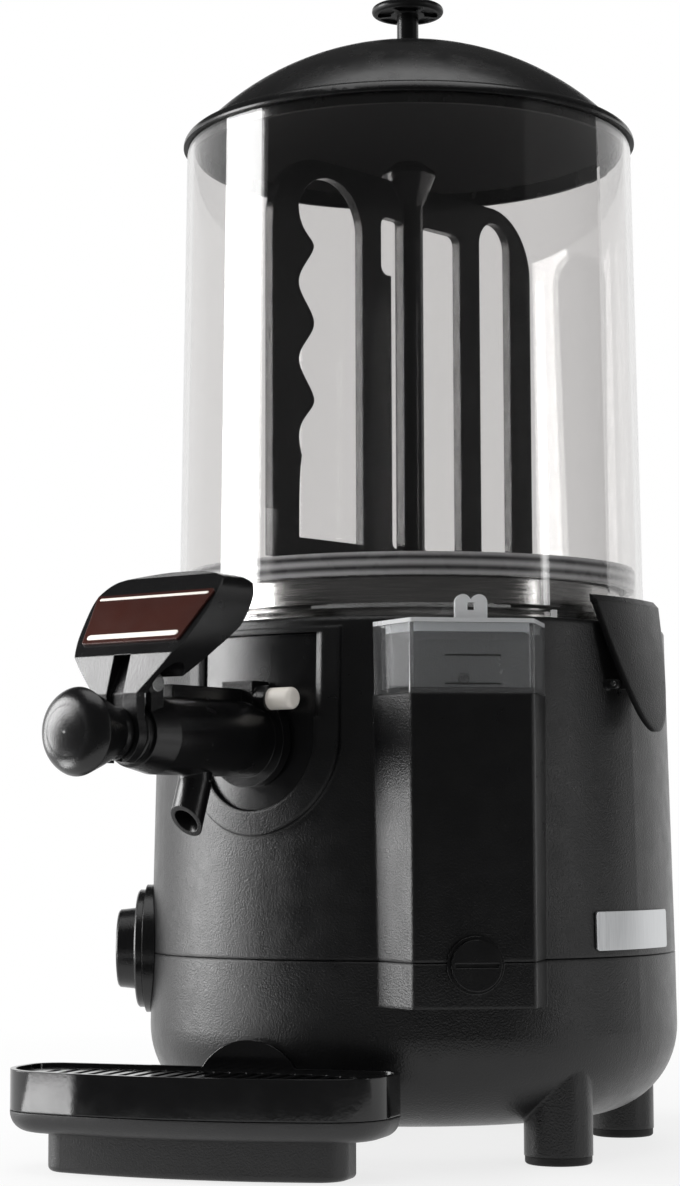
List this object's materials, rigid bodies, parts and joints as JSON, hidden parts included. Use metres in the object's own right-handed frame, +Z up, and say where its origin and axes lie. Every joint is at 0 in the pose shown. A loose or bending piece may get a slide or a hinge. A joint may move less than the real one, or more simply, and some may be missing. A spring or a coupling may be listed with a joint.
{
  "type": "hot chocolate dispenser",
  "caption": "Countertop hot drink dispenser: round black heated casing, clear bowl with domed lid and stirrer, lever tap with spout, water level box, dial and drip tray.",
  "frame": {"origin": "on the table, under the middle of the whole dispenser's box", "axes": "+Z up, -Y towards the tap and drip tray, +X to the right seen from the tap's side"},
  "size_m": [0.2872, 0.4014, 0.5835],
  "materials": {
    "casing_black": "satin, fine texture",
    "panel_black": "gloss",
    "clear_plastic": "clear, polished",
    "stirrer_black": "gloss",
    "lid_black": "gloss",
    "steel": "brushed",
    "bright_steel": "polished",
    "screw_steel": "zinc plated",
    "rubber_black": "matte",
    "seal_grey": "matte",
    "plate_grey": "satin, bare",
    "plate_brown": "satin, bare",
    "mark_dark": "printed line",
    "tray_black": "gloss",
    "motor_metal": "satin",
    "brass": "plain",
    "terminal_white": "matte",
    "pin_ivory": "satin"
  },
  "bodies": {
    "casing": {"base_shell": "casing_black", "foot_pads": "rubber_black", "bottom_cover": "steel", "cover_screws": "screw_steel", "upper_casing": "casing_black", "tap_panel": "panel_black", "casing_screws": "screw_steel", "plate_screws": "screw_steel", "side_plate": "plate_grey", "level_box": "clear_plastic", "level_marks": "mark_dark", "level_tube": "steel", "drain_pipe": "steel", "drain_collar": "panel_black", "steel_vessel": "steel", "water_jacket": "steel", "jacket_spacers": "steel", "bowl_seal": "seal_grey", "rim_gasket": "rubber_black", "heating_element": "bright_steel", "safety_cutout": "motor_metal", "thermostat_bulb": "bright_steel", "thermostat": "motor_metal", "dial_base": "panel_black", "support_plate": "steel", "gearbox": "motor_metal", "gearbox_screws": "screw_steel", "motor": "motor_metal", "shaft_tube": "steel", "shaft_bushes": "brass", "clip_pins": "steel", "tap_barrel": "panel_black", "outlet_seal": "rubber_black", "lock_pin": "pin_ivory", "barrel_gland": "panel_black", "tap_spring": "steel", "pivot_pin": "steel", "cable_gland": "casing_black", "terminal_block": "terminal_white"},
    "bowl": {"bowl": "clear_plastic"},
    "lid": {"lid": "lid_black", "lid_knob": "lid_black", "lid_screw": "screw_steel"},
    "stirrer": {"stirrer": "stirrer_black", "drive_shaft": "steel", "drive_pin": "steel"},
    "lever": {"tap_lever": "casing_black", "lever_plate": "plate_brown"},
    "piston": {"piston": "steel", "piston_seals": "rubber_black", "ball_knob": "panel_black"},
    "dial": {"dial_knob": "panel_black"},
    "level_cap": {"level_cap": "clear_plastic"},
    "drain_plug": {"drain_plug": "panel_black"},
    "clip_right": {"clip_right": "casing_black"},
    "clip_left": {"clip_left": "casing_black"},
    "tray": {"drip_tray": "tray_black", "tray_stand": "casing_black"},
    "grille": {"tray_grille": "tray_black"}
  },
  "joints": [
    {"name": "bowl_lift", "type": "slide", "parent": "casing", "child": "bowl", "axis": [0, 0, 1], "range_m": [0, 0.26]},
    {"name": "lid_lift", "type": "slide", "parent": "bowl", "child": "lid", "axis": [0, 0, 1], "range_m": [0, 0.12]},
    {"name": "stirrer_spin", "type": "hinge", "parent": "casing", "child": "stirrer", "pos_m": [0, 0.06065, 0.3], "axis": [0, 0, 1], "continuous": true},
    {"name": "lever_press", "type": "hinge", "parent": "casing", "child": "lever", "pos_m": [0, -0.15335, 0.2205], "axis": [-1, 0, 0], "range_deg": [0, 22.1]},
    {"name": "piston_slide", "type": "slide", "parent": "casing", "child": "piston", "axis": [0, -1, 0], "range_m": [0, 0.012], "stiffness_N_per_m": 150, "springref_m": -0.02, "deforming": ["tap_spring"]},
    {"name": "dial_turn", "type": "hinge", "parent": "casing", "child": "dial", "pos_m": [-0.11468, -0.01965, 0.097], "axis": [-0.8192, -0.5736, 0], "range_deg": [0, 270]},
    {"name": "level_cap_lift", "type": "slide", "parent": "casing", "child": "level_cap", "axis": [0, 0, 1], "range_m": [0, 0.05]},
    {"name": "drain_plug_pull", "type": "slide", "parent": "casing", "child": "drain_plug", "axis": [0.7145, -0.6997, 0], "range_m": [0, 0.03]},
    {"name": "clip_right_tilt", "type": "hinge", "parent": "casing", "child": "clip_right", "pos_m": [0.13157, 0.06065, 0.2245], "axis": [0, 1, 0], "range_deg": [0, 9], "stiffness_Nm_per_rad": 0.3, "springref_deg": -6.88},
    {"name": "clip_left_tilt", "type": "hinge", "parent": "casing", "child": "clip_left", "pos_m": [-0.13157, 0.06065, 0.2245], "axis": [0, -1, 0], "range_deg": [0, 9], "stiffness_Nm_per_rad": 0.3, "springref_deg": -6.88},
    {"name": "tray_slide", "type": "slide", "parent": "casing", "child": "tray", "axis": [0.2924, -0.9563, 0], "range_m": [0, 0.15]},
    {"name": "grille_lift", "type": "slide", "parent": "tray", "child": "grille", "axis": [0, 0, 1], "range_m": [0, 0.04]}
  ],
  "couplings": [
    {"joint": "lever_press", "follows": "piston_slide", "rad_per_m": 31.998}
  ]
}
